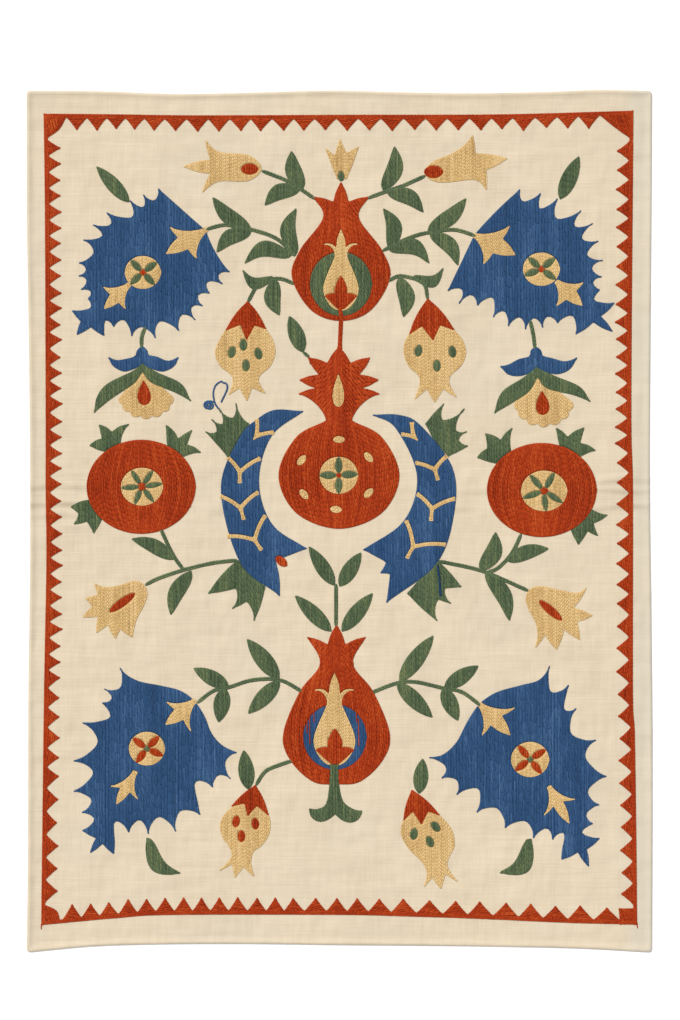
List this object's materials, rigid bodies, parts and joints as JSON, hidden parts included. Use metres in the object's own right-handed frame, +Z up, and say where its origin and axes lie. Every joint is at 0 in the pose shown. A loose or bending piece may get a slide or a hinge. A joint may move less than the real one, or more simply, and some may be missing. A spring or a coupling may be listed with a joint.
{
  "type": "embroidered suzani cloth",
  "caption": "Rectangular cream cotton wall or table cloth with a rolled hem, embroidered with a sawtooth border, pomegranates, palmettes, tulips and leaves; lies flat with soft fold creases.",
  "frame": {"origin": "middle of the resting face, on the surface that the cloth lies on", "axes": "+X to the right across the cloth, +Y towards its top edge, +Z up out of its embroidered face"},
  "size_m": [0.9508, 1.3101, 0.004],
  "materials": {
    "cream_cotton": "matt plain weave, undyed cotton",
    "red_thread": "laid wool thread, slight sheen",
    "blue_thread": "laid wool thread, slight sheen",
    "green_thread": "laid wool thread, slight sheen",
    "gold_thread": "chain-stitched thread, slight sheen"
  },
  "bodies": {
    "root": {"ground_cloth": "cream_cotton"}
  },
  "joints": []
}
